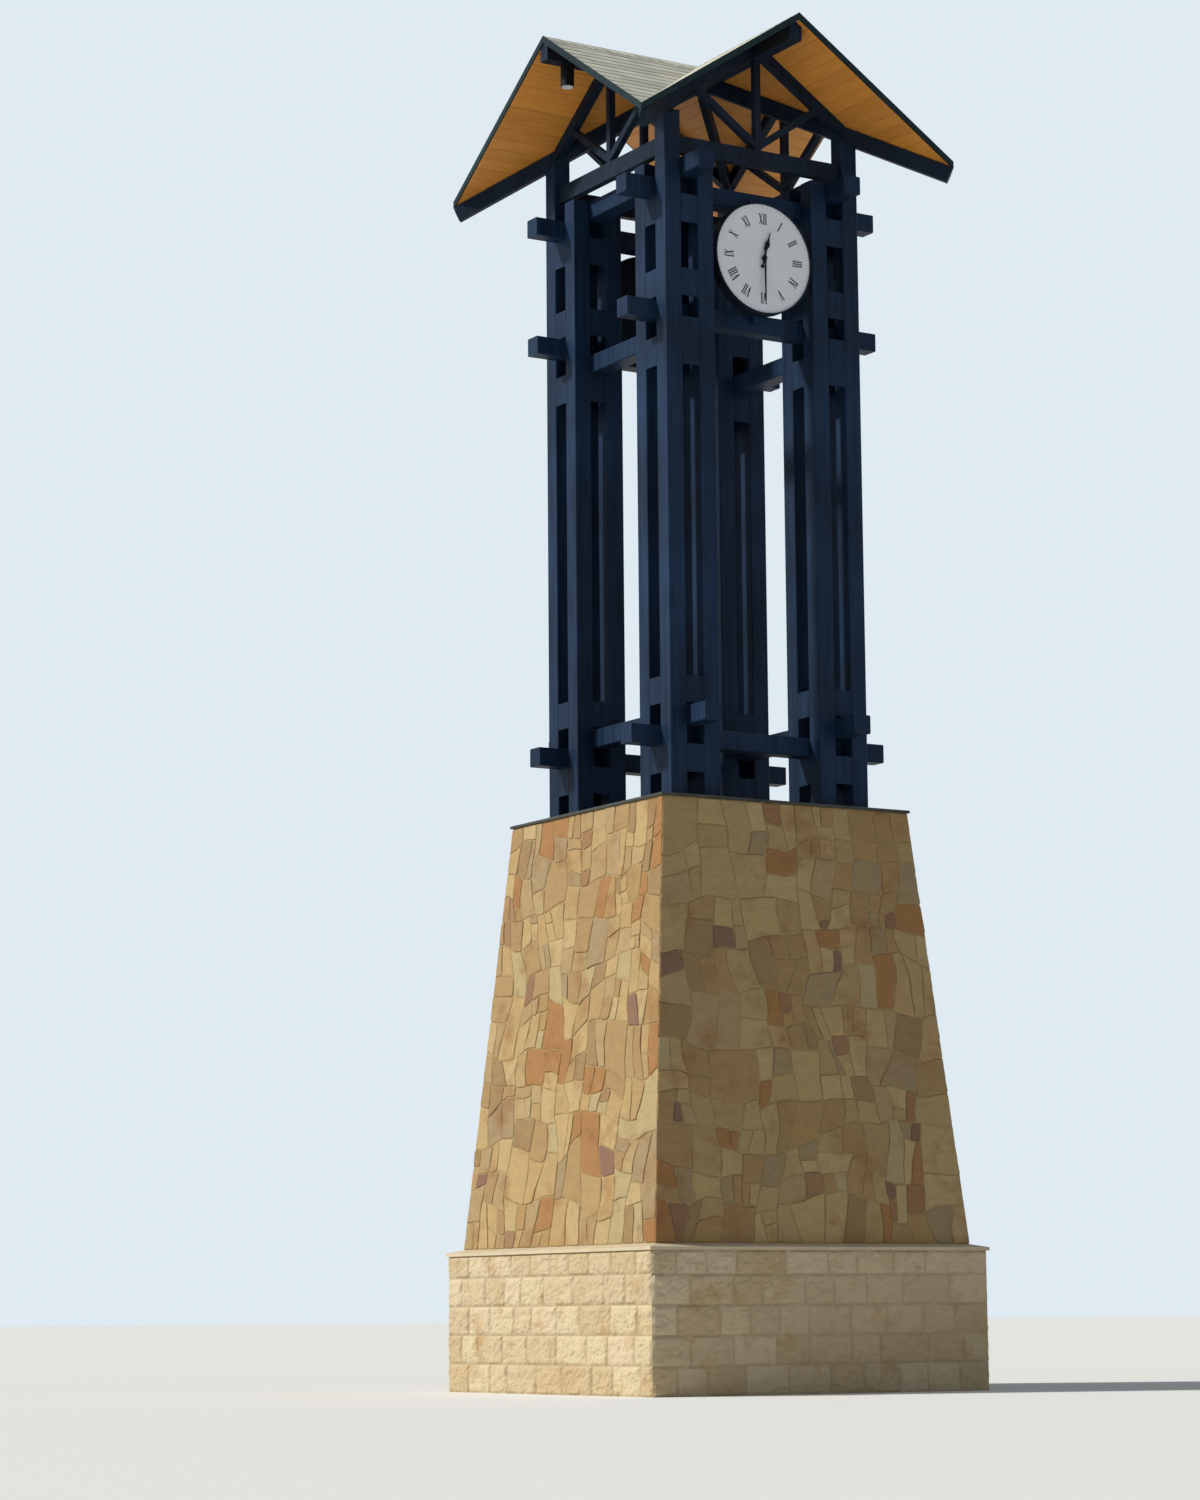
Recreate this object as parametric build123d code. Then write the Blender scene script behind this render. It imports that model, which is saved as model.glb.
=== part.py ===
"""Clock tower: a battered stone base on a block plinth, four built-up steel columns
that carry crossing beams, and a cross-gable roof over a round clock on the front and
the back.

Millimetres, +Z up. The front dial looks towards -Y. The origin is on the ground at
the middle of the plinth.
"""
import os
from math import atan, cos, degrees, radians, sqrt

from build123d import *

os.makedirs("parts", exist_ok=True)

# Plinth and base, from the ground up
plinth_width = 4170.0
plinth_wall_height = 1457.0
cap_overhang = 30.0
cap_edge_height = 34.0
cap_wash_height = 36.0
base_foot_width = 3924.0
base_head_width = 3110.0
base_height = 4623.0
coping_overhang = 28.0
coping_thickness = 30.0
coping_drip = 8.0

# Columns: four square tubes in a group, tied by plates across the gaps between them
frame_width = 2530.0
post_width = 205.0
post_gap = 213.0
post_corner_radius = 14.0
plate_thickness = 20.0
plate_recess = 3.0

# Heights on the columns, each one counted from the piece below it
foot_opening_height = 288.0
lower_plate_height = 302.0
sill_plate_height = 290.0
shaft_opening_height = 3385.0
neck_plate_height = 320.0
shoulder_plate_height = 305.0
clock_opening_height = 513.0
head_plate_height = 313.0

# Crossing beams
beam_height = 203.0
slot_clearance = 34.0
cross_beam_overhang = 360.0
side_beam_overhang = 350.0
beam_corner_radius = 14.0

# Roof planes
roof_overhang = 769.0
roof_rise = 2.0
roof_run = 3.0
ridge_above_chord = 1510.0
shingle_thickness = 30.0
ceiling_thickness = 38.0
edge_trim_thickness = 15.0

# Roof steel
ridge_beam_width = 150.0
ridge_beam_drop = 205.0
deep_ridge_setback = 60.0
valley_beam_thickness = 75.0
valley_beam_depth = 194.0
valley_beam_setback = 4.0
truss_thickness = 90.0
chord_clearance = 64.0
chord_height = 190.0
rafter_depth = 118.0
web_width = 76.0
web_reach = 830.0

# Round lamp under the left end of the ridge beam that runs across
lamp_diameter = 150.0
lamp_height = 248.0
lamp_rim = 9.0
lamp_lip_depth = 14.0
lamp_end_setback = 299.0
glass_thickness = 20.0

# Clock
clock_clearance = 17.0
dial_thickness = 15.0
dial_setback = 3.0
case_rim = 16.0
case_depth = 100.0
bezel_projection = 18.0
bracket_width = 120.0
bracket_lap = 110.0
round_fit_gap = 0.3
seat_gap = 0.3
spindle_reach = 22.0
hand_thickness = 6.0
hour_tip_to_edge = 284.0
hour_hand_width = 30.0
hour_leaf_width = 62.0
minute_tip_to_edge = 109.0
minute_hand_width = 24.0
minute_tip_width = 9.0
hand_tail_length = 105.0
hub_radius = 30.0
clock_hour = 12.5

slope = roof_rise / roof_run
slope_angle = degrees(atan(slope))
plumb = 1.0 / cos(radians(slope_angle))


def box_between(x0, x1, y0, y1, z0, z1):
    """A plain block between two opposite corners."""
    size = (abs(x1 - x0), abs(y1 - y0), abs(z1 - z0))
    middle = ((x0 + x1) / 2, (y0 + y1) / 2, (z0 + z1) / 2)
    return Pos(*middle) * Box(*size)


def frustum(width_low, width_high, z_low, z_high):
    """A square block that narrows evenly from its foot to its head."""
    height = z_high - z_low
    batter = degrees(atan((width_low - width_high) / 2 / height))
    foot = Plane.XY.offset(z_low) * Rectangle(width_low, width_low)
    return extrude(foot, height, taper=batter)


def turned(shape, quarter_turns):
    """The same piece on another side of the tower."""
    return Rot(0, 0, 90 * quarter_turns) * shape


# Levels, bottom to top
z_cap_foot = plinth_wall_height
z_base_foot = z_cap_foot + cap_edge_height + cap_wash_height
z_coping_foot = z_base_foot + base_height
z_columns = z_coping_foot + coping_thickness
z_lower_plate = z_columns + foot_opening_height
z_lower_cross = z_lower_plate + lower_plate_height
z_lower_side = z_lower_cross + beam_height
z_sill_plate = z_lower_side + beam_height + slot_clearance
z_shaft_opening = z_sill_plate + sill_plate_height
z_neck_plate = z_shaft_opening + shaft_opening_height
z_middle_side = z_neck_plate + neck_plate_height
z_middle_cross = z_middle_side + beam_height
z_shoulder_plate = z_middle_cross + beam_height + slot_clearance
z_clock_opening = z_shoulder_plate + shoulder_plate_height
z_head_plate = z_clock_opening + clock_opening_height
z_upper_cross = z_head_plate + head_plate_height
z_upper_side = z_upper_cross + beam_height
z_post_top = z_upper_side + beam_height
z_chord = z_post_top + chord_clearance
z_chord_top = z_chord + chord_height
z_clock = (z_middle_cross + beam_height + z_upper_cross) / 2

roof_width = frame_width + 2 * roof_overhang
roof_half = roof_width / 2
deck_half = roof_half - edge_trim_thickness
z_ridge = z_chord + ridge_above_chord
z_ridge_deck = z_ridge - shingle_thickness * plumb
z_ridge_ceiling = z_ridge_deck - ceiling_thickness * plumb
z_ridge_beam = z_ridge_ceiling - ridge_beam_drop

frame_half = frame_width / 2
post_in = frame_half - post_width
beam_line = post_in - post_gap / 2
post_back = post_in - post_gap
column_in = post_back - post_width
truss_line = frame_half - post_width / 2

# Plinth of blocks, with a cap that sheds water outwards
cap_width = plinth_width + 2 * cap_overhang
plinth = box_between(
    -plinth_width / 2, plinth_width / 2, -plinth_width / 2, plinth_width / 2,
    0, plinth_wall_height)
cap_edge = box_between(
    -cap_width / 2, cap_width / 2, -cap_width / 2, cap_width / 2,
    z_cap_foot, z_cap_foot + cap_edge_height)
cap_wash = frustum(cap_width, base_foot_width, z_cap_foot + cap_edge_height, z_base_foot)
plinth_cap = cap_edge + cap_wash

# Battered stone base and the coping that closes it
coping_width = base_head_width + 2 * coping_overhang
stone_base = frustum(base_foot_width, base_head_width, z_base_foot, z_coping_foot)
base_coping = box_between(
    -coping_width / 2, coping_width / 2, -coping_width / 2, coping_width / 2,
    z_coping_foot, z_columns)
coping_edges = base_coping.edges().group_by(Axis.Z)[-1]
base_coping = chamfer(coping_edges, coping_drip)


def cross_gable(z_ridge, half, z_low):
    """Everything below four equal gables whose ridges cross over the middle."""
    eaves = z_ridge - slope * half
    outline = Polyline(
        (-half, z_low), (-half, eaves), (0, z_ridge), (half, eaves), (half, z_low),
        (-half, z_low))
    along_y = extrude(Plane.XZ * make_face(outline), half, both=True)
    return along_y + turned(along_y, 1)


def gable_share(half, z_low, z_high):
    """The quarter of the plan that belongs to the front gable."""
    corner = half + 10
    plan = Polyline((0, 0), (-corner, -corner), (corner, -corner), (0, 0))
    return extrude(Plane.XY.offset(z_low) * make_face(plan), z_high - z_low)


def above_diagonal(z_at_ridge, thickness, z_top):
    """What lies above a line that falls along a valley towards the front right corner."""
    reach = 2 * roof_half
    falling = z_at_ridge - slope * reach / sqrt(2)
    side = Plane(origin=(0, 0, 0), x_dir=(1, -1, 0), z_dir=(-1, -1, 0))
    outline = Polyline(
        (0, z_at_ridge), (reach, falling), (reach, z_top), (0, z_top), (0, z_at_ridge))
    return extrude(side * make_face(outline), thickness / 2, both=True)


def on_corner(shape, sign_x, sign_y):
    """A piece made at the front right corner, turned to another corner."""
    turns = {(1, -1): 0, (1, 1): 1, (-1, 1): 2, (-1, -1): 3}
    return turned(shape, turns[(sign_x, sign_y)])


# Roof covering and timber ceiling: thin shells between nested cross gables
z_cut = z_chord - 200
outer = cross_gable(z_ridge, deck_half, z_cut)
deck_top = cross_gable(z_ridge_deck, deck_half, z_cut)
ceiling_face = cross_gable(z_ridge_ceiling, deck_half, z_cut)
share = gable_share(roof_half, z_cut - 10, z_ridge + 10)
shingles = (outer - deck_top) & share
ceiling = (deck_top - ceiling_face) & share

trim_outer = cross_gable(z_ridge, roof_half, z_cut)
trim_inner = cross_gable(z_ridge_ceiling, roof_half, z_cut)
trim_band = box_between(
    -roof_half, roof_half, -roof_half, -deck_half, z_cut, z_ridge + 10)
edge_trim = (trim_outer - trim_inner) & trim_band & share

# Ridge beams under the crossing ridges
beam_side = z_ridge_ceiling - slope * ridge_beam_width / 2
ridge_outline = Polyline(
    (-ridge_beam_width / 2, z_ridge_beam), (-ridge_beam_width / 2, beam_side),
    (0, z_ridge_ceiling), (ridge_beam_width / 2, beam_side),
    (ridge_beam_width / 2, z_ridge_beam), (-ridge_beam_width / 2, z_ridge_beam))
ridge_face = make_face(ridge_outline)
ridge_beam_across = extrude(Plane.YZ * ridge_face, deck_half, both=True)
half_ridge = Pos(0, -ridge_beam_width / 2, 0) * extrude(
    Plane.XZ * ridge_face, deck_half - deep_ridge_setback - ridge_beam_width / 2)
ridge_beam_deep = Compound([half_ridge, turned(half_ridge, 2)])

# Valley beam: a deep plate on edge below each valley, out to the roof's corner, where its
# end is cut square to its slope and trimmed flush with the edge trim
z_valley_beam = z_ridge_ceiling - valley_beam_depth
valley_slice = above_diagonal(z_valley_beam, valley_beam_thickness, z_ridge)
valley_over = above_diagonal(z_ridge_ceiling, valley_beam_thickness + 20, z_ridge + 20)
valley_end = roof_half - valley_beam_setback
end_plane = Plane(
    origin=(valley_end, -valley_end, z_ridge_ceiling - slope * valley_end),
    z_dir=(1, -1, -slope))
beyond = extrude(end_plane * Rectangle(roof_width, roof_width), roof_width)
ridge_cross = box_between(
    -ridge_beam_width / 2, roof_half, -ridge_beam_width / 2, ridge_beam_width / 2,
    z_cut, z_ridge + 30)
ridge_cross = ridge_cross + turned(ridge_cross, 3)
roof_plan = box_between(-roof_half, roof_half, -roof_half, roof_half, 0, z_ridge)
valley_beam = (valley_slice - valley_over - ridge_cross - beyond) & roof_plan


def tube_post(x0, x1, y0, y1, z0, z1):
    """An upright of square tube with its corners rounded."""
    post = box_between(x0, x1, y0, y1, z0, z1)
    return fillet(post.edges().filter_by(Axis.Z), post_corner_radius)


def column():
    """One column of the front right corner: four posts and the plates that tie them."""
    rows = [(post_in, frame_half), (column_in, post_back)]
    posts = []
    for x0, x1 in rows:
        for y0, y1 in rows:
            at_corner = x0 == post_in and y0 == post_in
            top = z_ridge_ceiling if at_corner else z_post_top
            post = tube_post(x0, x1, -y1, -y0, z_columns, top)
            if at_corner:
                post = post - above_diagonal(z_valley_beam, 3 * post_width, z_ridge + 20)
            posts.append(post)
    levels = [
        (z_lower_plate, z_lower_cross),
        (z_sill_plate, z_shaft_opening),
        (z_neck_plate, z_middle_side),
        (z_shoulder_plate, z_clock_opening),
        (z_head_plate, z_upper_cross),
    ]
    faces_out = (frame_half - plate_recess - plate_thickness, frame_half - plate_recess)
    faces_in = (column_in + plate_recess, column_in + plate_recess + plate_thickness)
    result = posts[0]
    for post in posts[1:]:
        result = result + post
    for z0, z1 in levels:
        for near, far in (faces_out, faces_in):
            result = result + box_between(near, far, -post_in, -post_back, z0, z1)
            result = result + box_between(post_back, post_in, -far, -near, z0, z1)
    return result


front_right = column()


def beam(length, z0):
    """A crossing beam along X at the middle of the plan, a closed square tube."""
    bar = box_between(
        -length / 2, length / 2, -post_gap / 2, post_gap / 2, z0, z0 + beam_height)
    return fillet(bar.edges().filter_by(Axis.X), beam_corner_radius)


cross_length = frame_width + 2 * cross_beam_overhang
side_length = frame_width + 2 * side_beam_overhang


def truss():
    """King-post truss of the front: chord, king post, two webs and two rafters."""
    face = Plane.XZ.offset(truss_line)

    def bar(points, thickness):
        outline = make_face(Polyline(*points, points[0]))
        return extrude(face * outline, thickness / 2, both=True)

    half_width = web_width / 2
    chord = bar(
        [(-post_in, z_chord), (post_in, z_chord), (post_in, z_chord_top),
         (-post_in, z_chord_top)], truss_thickness)
    king = bar(
        [(-half_width, z_chord_top), (half_width, z_chord_top),
         (half_width, z_ridge_beam), (-half_width, z_ridge_beam)], web_width)
    result = chord + king
    drop = rafter_depth * plumb
    x0 = ridge_beam_width / 2
    x1 = truss_line + truss_thickness
    z_under = z_ridge_ceiling - drop
    for side in (-1, 1):
        rafter = bar(
            [(side * x0, z_ridge_ceiling - slope * x0), (side * x1, z_ridge_ceiling - slope * x1),
             (side * x1, z_under - slope * x1), (side * x0, z_under - slope * x0)],
            truss_thickness)
        low = (0, z_chord_top + half_width)
        high = (side * web_reach, z_under - slope * web_reach + drop / 2)
        run = sqrt(high[0] ** 2 + (high[1] - low[1]) ** 2)
        nx = -(high[1] - low[1]) / run * half_width
        nz = high[0] / run * half_width
        web = bar(
            [(low[0] - nx, low[1] - nz), (high[0] - nx, high[1] - nz),
             (high[0] + nx, high[1] + nz), (low[0] + nx, low[1] + nz)], web_width)
        result = result + rafter + web
    side_cut = valley_beam_thickness / sqrt(2)
    reach = 3 * roof_half
    for side in (-1, 1):
        plan = Polyline(
            (side * (0 - side_cut), 0), (side * (reach - side_cut), -reach),
            (side * (reach + 10), -reach), (side * (reach + 10), 0),
            (side * (0 - side_cut), 0))
        beyond_valley = extrude(
            Plane.XY.offset(z_chord_top + 1) * make_face(plan), z_ridge)
        result = result - beyond_valley
    return result


front_truss = truss()

# Lamp: a round can that points down, with a thick glass seated in its rim
lamp_place = Pos(lamp_end_setback - deck_half, 0, z_ridge_beam)
mouth_place = lamp_place * Pos(0, 0, lamp_lip_depth - lamp_height)
mouth_radius = lamp_diameter / 2 - lamp_rim
lamp_can = Cylinder(lamp_diameter / 2, lamp_height, align=(Align.CENTER, Align.CENTER, Align.MAX))
lamp_mouth = Cylinder(
    mouth_radius, 2 * lamp_lip_depth, align=(Align.CENTER, Align.CENTER, Align.MAX))
gable_lamp = lamp_place * lamp_can - mouth_place * lamp_mouth
lamp_glass = mouth_place * Cylinder(
    mouth_radius - round_fit_gap, glass_thickness, align=(Align.CENTER, Align.CENTER, Align.MAX))

# Clock: a shallow round case held on an upright between two crossing beams
beam_face = beam_line + post_gap / 2
dial_face = frame_half - dial_setback
case_front = dial_face - dial_thickness
case_back = case_front - case_depth
case_radius = column_in - clock_clearance
dial_radius = case_radius - case_rim
hour_hand_length = dial_radius - hour_tip_to_edge
minute_hand_length = dial_radius - minute_tip_to_edge
clock_plane = Plane(origin=(0, 0, z_clock), x_dir=(1, 0, 0), z_dir=(0, -1, 0))


def clock_disc(radius, near, far):
    """A round slice of the clock between two distances from the tower's middle."""
    return extrude(clock_plane.offset(near) * Circle(radius), far - near)


bezel_face = dial_face + bezel_projection
dial = clock_disc(dial_radius, case_front, dial_face)
case = clock_disc(case_radius, case_back, bezel_face)
case = case - clock_disc(dial_radius + round_fit_gap, case_front, bezel_face + 10)
bracket = box_between(
    -bracket_width / 2, bracket_width / 2, -case_back, -beam_face,
    z_middle_cross + beam_height - bracket_lap, z_upper_cross + bracket_lap)

hour_back = dial_face + spindle_reach
hour_front = hour_back + hand_thickness
minute_back = hour_front + spindle_reach / 2


def hour_hand():
    """Leaf-shaped hour hand with a plain tail, upright at twelve o'clock."""
    half = hour_hand_width / 2
    neck = hour_hand_length * 0.58
    leaf = hour_hand_length * 0.74
    shank = Polyline(
        (-half, 0), (-half * 0.55, neck), (half * 0.55, neck), (half, 0), (-half, 0))
    blade = make_face([
        Spline((0, neck - 6), (-hour_leaf_width / 2, leaf), (0, hour_hand_length)),
        Spline((0, hour_hand_length), (hour_leaf_width / 2, leaf), (0, neck - 6)),
    ])
    tail = Polyline(
        (-half * 0.6, 0), (-half * 0.4, -hand_tail_length), (half * 0.4, -hand_tail_length),
        (half * 0.6, 0), (-half * 0.6, 0))
    shape = make_face(shank) + blade + make_face(tail) + Circle(hub_radius)
    plate = extrude(clock_plane.offset(hour_back) * shape, hand_thickness)
    boss = clock_disc(hub_radius * 0.7, dial_face + seat_gap, hour_back)
    return plate + boss


def minute_hand():
    """Long tapered minute hand with a round tail, upright at twelve o'clock."""
    half = minute_hand_width / 2
    tip = minute_tip_width / 2
    shank = Polyline(
        (-half, 0), (-tip, minute_hand_length - tip), (0, minute_hand_length),
        (tip, minute_hand_length - tip), (half, 0), (-half, 0))
    tail = Polyline(
        (-half * 0.7, 0), (-half * 0.5, -hand_tail_length), (half * 0.5, -hand_tail_length),
        (half * 0.7, 0), (-half * 0.7, 0))
    shape = make_face(shank) + make_face(tail) + Circle(hub_radius * 0.85)
    shape = shape + Pos(0, -hand_tail_length) * Circle(minute_hand_width * 0.75)
    plate = extrude(clock_plane.offset(minute_back) * shape, hand_thickness)
    boss = clock_disc(hub_radius * 0.55, hour_front + seat_gap, minute_back)
    return plate + boss


def hand_at(shape, degrees_past_twelve):
    """A hand turned clockwise about the spindle, seen from in front of the dial."""
    move = Pos(0, 0, z_clock) * Rot(0, degrees_past_twelve, 0) * Pos(0, 0, -z_clock)
    return move * shape


hour_hand_front = hand_at(hour_hand(), clock_hour * 30)
minute_hand_front = hand_at(minute_hand(), clock_hour * 360)

pieces = {
    "plinth": plinth,
    "plinth_cap": plinth_cap,
    "stone_base": stone_base,
    "base_coping": base_coping,
    "column_front_right": front_right,
    "column_back_right": on_corner(front_right, 1, 1),
    "column_back_left": on_corner(front_right, -1, 1),
    "column_front_left": on_corner(front_right, -1, -1),
    "ridge_beam_across": ridge_beam_across,
    "ridge_beam_deep": ridge_beam_deep,
    "valley_beams": Compound([turned(valley_beam, turn) for turn in range(4)]),
    "gable_lamp": gable_lamp,
    "gable_lamp_glass": lamp_glass,
    "clock_bracket_front": bracket,
    "clock_bracket_back": turned(bracket, 2),
    "clock_case_front": case,
    "clock_case_back": turned(case, 2),
    "dial_front": dial,
    "dial_back": turned(dial, 2),
    "hour_hand_front": hour_hand_front,
    "minute_hand_front": minute_hand_front,
    "hour_hand_back": turned(hour_hand_front, 2),
    "minute_hand_back": turned(minute_hand_front, 2),
}

for level, z_cross, z_side, overhang in (
        ("lower", z_lower_cross, z_lower_side, side_length),
        ("middle", z_middle_cross, z_middle_side, frame_width),
        ("upper", z_upper_cross, z_upper_side, side_length)):
    cross_beam = beam(cross_length, z_cross)
    side_beam = turned(beam(overhang, z_side), 1)
    across = [Pos(0, place, 0) * cross_beam for place in (-beam_line, beam_line)]
    deep = [Pos(place, 0, 0) * side_beam for place in (-beam_line, beam_line)]
    pieces[level + "_beams_across"] = Compound(across)
    pieces[level + "_beams_deep"] = Compound(deep)

for turn, side in enumerate(("front", "right", "back", "left")):
    pieces["truss_" + side] = turned(front_truss, turn)
    pieces["ceiling_" + side] = turned(ceiling, turn)
    pieces["shingles_" + side] = turned(shingles, turn)
    pieces["edge_trim_" + side] = turned(edge_trim, turn)

for name, piece in pieces.items():
    export_step(piece, "parts/" + name + ".step")
    print(name, "solids", len(piece.solids()), "volume", round(piece.volume / 1e9, 4))
print("nodes", len(pieces), "height", round(z_ridge), "dial", round(2 * dial_radius))
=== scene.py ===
# %% [markdown]
# # A clock tower on a stone base
# The tower is a dark steel frame that carries two round dials and a cross-gable roof.
# It stands on a tapering base faced with brown rubble, over a plinth of pale limestone
# blocks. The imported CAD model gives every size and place, and stays as it is. This
# script dresses it: it lays the stones, boards, shingles and dial numbers that the
# solids leave out, cuts finer hands, and gives each surface a material.

# %% Load the frame
import math
import random

import bpy
from mathutils import Matrix, Vector, noise


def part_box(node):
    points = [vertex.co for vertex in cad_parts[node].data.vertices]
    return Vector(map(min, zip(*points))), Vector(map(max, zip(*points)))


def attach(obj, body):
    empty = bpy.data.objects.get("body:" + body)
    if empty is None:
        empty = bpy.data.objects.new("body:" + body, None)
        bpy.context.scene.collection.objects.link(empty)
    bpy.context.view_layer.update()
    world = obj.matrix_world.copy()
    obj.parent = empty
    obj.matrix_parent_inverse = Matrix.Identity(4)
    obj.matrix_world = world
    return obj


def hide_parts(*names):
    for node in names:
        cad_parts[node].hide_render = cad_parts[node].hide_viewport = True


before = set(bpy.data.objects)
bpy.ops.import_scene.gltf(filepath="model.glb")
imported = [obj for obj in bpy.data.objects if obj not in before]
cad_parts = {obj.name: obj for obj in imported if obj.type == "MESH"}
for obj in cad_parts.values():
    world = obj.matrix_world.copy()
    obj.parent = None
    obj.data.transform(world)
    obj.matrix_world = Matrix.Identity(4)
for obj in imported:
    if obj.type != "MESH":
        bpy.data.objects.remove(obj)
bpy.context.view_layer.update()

# Two heights within NEAR metres count as one, and an edge under TINY metres as no edge.
NEAR = 0.001
TINY = 1e-6

# %% [markdown]
# ## Colours and nodes
# Paint charts and colour pickers give sRGB values, but shaders work in linear light, so
# one function turns a hex colour to linear. A second one adds a shader node, sets its
# values and links its inputs, which keeps each material short enough to read.

# %% Colour and node helpers
def linear(hex_colour):
    """An sRGB hex colour as linear RGBA."""
    channels = [int(hex_colour[i:i + 2], 16) / 255 for i in (1, 3, 5)]
    return [c / 12.92 if c <= 0.04045 else ((c + 0.055) / 1.055) ** 2.4 for c in channels] + [1.0]


def add_node(tree, kind, settings=None, links=None):
    """Add a node, set its properties (named) and inputs (named or numbered), and link it."""
    node = tree.nodes.new(kind)
    for name, value in (settings or {}).items():
        if isinstance(name, str) and hasattr(node, name):
            setattr(node, name, value)
        else:
            node.inputs[name].default_value = value
    for name, socket in (links or {}).items():
        tree.links.new(socket, node.inputs[name])
    return node


def new_material(name, roughness, ior=1.5):
    """A material, its tree and its Principled shader with the roughness and IOR set."""
    material = bpy.data.materials.new(name)
    material.use_nodes = True
    shader = material.node_tree.nodes["Principled BSDF"]
    shader.inputs["Roughness"].default_value = roughness
    shader.inputs["IOR"].default_value = ior
    return material, material.node_tree, shader


def per_metre(size_mm):
    """The scale of a pattern whose features are this size."""
    return 1000.0 / size_mm


print("white paper is", [round(c, 3) for c in linear("#F2F0EA")])

# %% [markdown]
# ## The steel paint
# The frame is structural steel tube under an alkyd enamel, a sprayed paint that weathers
# to a dull satin. It is nearly black, with a blue cast that shows where the sun lights
# it. Rain leaves long faint streaks, so a noise stretched along the height lightens it a
# little, dust gathers in broad cloudy patches, and a fine bump gives the orange peel that
# sprayed paint has. Old enamel has lost its gloss, so its specular level is low.

# %% Dark blue alkyd enamel
def enamel(name, deep, chalky, roughness):
    """Weathered enamel on steel: two tones, rain streaks, dust and orange peel."""
    material, tree, shader = new_material(name, roughness=roughness, ior=1.45)
    shader.inputs["Specular IOR Level"].default_value = 0.12
    place = add_node(tree, "ShaderNodeTexCoord").outputs["Object"]
    streak_width_mm = 60
    tall = add_node(tree, "ShaderNodeMapping", {"Scale": (1.0, 1.0, 0.06)}, {"Vector": place})
    streaks = add_node(tree, "ShaderNodeTexNoise",
                       {"Scale": per_metre(streak_width_mm), "Detail": 4.0, "Roughness": 0.6},
                       {"Vector": tall.outputs["Vector"]})
    dust_width_mm = 900
    dust = add_node(tree, "ShaderNodeTexNoise",
                    {"Scale": per_metre(dust_width_mm), "Detail": 5.0, "Roughness": 0.55},
                    {"Vector": place})
    wear = add_node(tree, "ShaderNodeMath", {"operation": "ADD"},
                    {0: streaks.outputs["Fac"], 1: dust.outputs["Fac"]})
    half = add_node(tree, "ShaderNodeMath", {"operation": "MULTIPLY", 1: 0.5},
                    {0: wear.outputs["Value"]})
    tone = add_node(tree, "ShaderNodeValToRGB", links={"Fac": half.outputs["Value"]})
    tone.color_ramp.elements[0].position = 0.40
    tone.color_ramp.elements[0].color = linear(deep)
    tone.color_ramp.elements[1].position = 0.64
    tone.color_ramp.elements[1].color = linear(chalky)
    tree.links.new(tone.outputs["Color"], shader.inputs["Base Color"])
    sheen = add_node(tree, "ShaderNodeMapRange",
                     {"To Min": roughness - 0.06, "To Max": roughness + 0.12},
                     {"Value": streaks.outputs["Fac"]})
    tree.links.new(sheen.outputs["Result"], shader.inputs["Roughness"])
    # Real orange peel is 2 to 3 mm across, and is drawn at 14 mm so that it shows.
    peel_width_mm = 14
    peel = add_node(tree, "ShaderNodeTexNoise",
                    {"Scale": per_metre(peel_width_mm), "Detail": 2.0}, {"Vector": place})
    bump = add_node(tree, "ShaderNodeBump", {"Strength": 0.12, "Distance": 0.001},
                    {"Height": peel.outputs["Fac"]})
    tree.links.new(bump.outputs["Normal"], shader.inputs["Normal"])
    return material


sheet_paint = enamel("dark_grey_paint_on_sheet_steel", "#3A3C38", "#4C4E48", 0.45)
frame_paint = enamel("dark_blue_alkyd_enamel_on_steel_tube", "#0F1E31", "#1C324D", 0.46)
roof_paint = enamel("dark_blue_alkyd_enamel_on_roof_steel", "#0F1A28", "#1A2A3C", 0.48)
trim_paint = enamel("dark_green_enamel_on_folded_trim", "#122025", "#1B3033", 0.44)
case_paint = enamel("near_black_enamel_on_clock_case", "#0C1520", "#16222E", 0.42)
lamp_paint = enamel("near_black_enamel_on_lamp_housing", "#0A0D10", "#14181C", 0.42)
hand_paint = enamel("black_enamel_on_aluminium_hands", "#0B0C0E", "#15171A", 0.40)
print("enamels", frame_paint.name, roof_paint.name, trim_paint.name)

# %% [markdown]
# ## Stone
# Two kinds of stone are used. The plinth is limestone with split faces, a soft sediment
# that breaks rough and pale. The base is faced with sandstone rubble in tan, ochre and
# olive, with a few rust-brown stones from iron in the bed. Each stone is a separate
# island of the mesh, so a number that is random for each island picks its colour from a
# ramp. Iron also stains in soft patches that cross a stone, which a wide noise lays over
# the tones.

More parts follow.
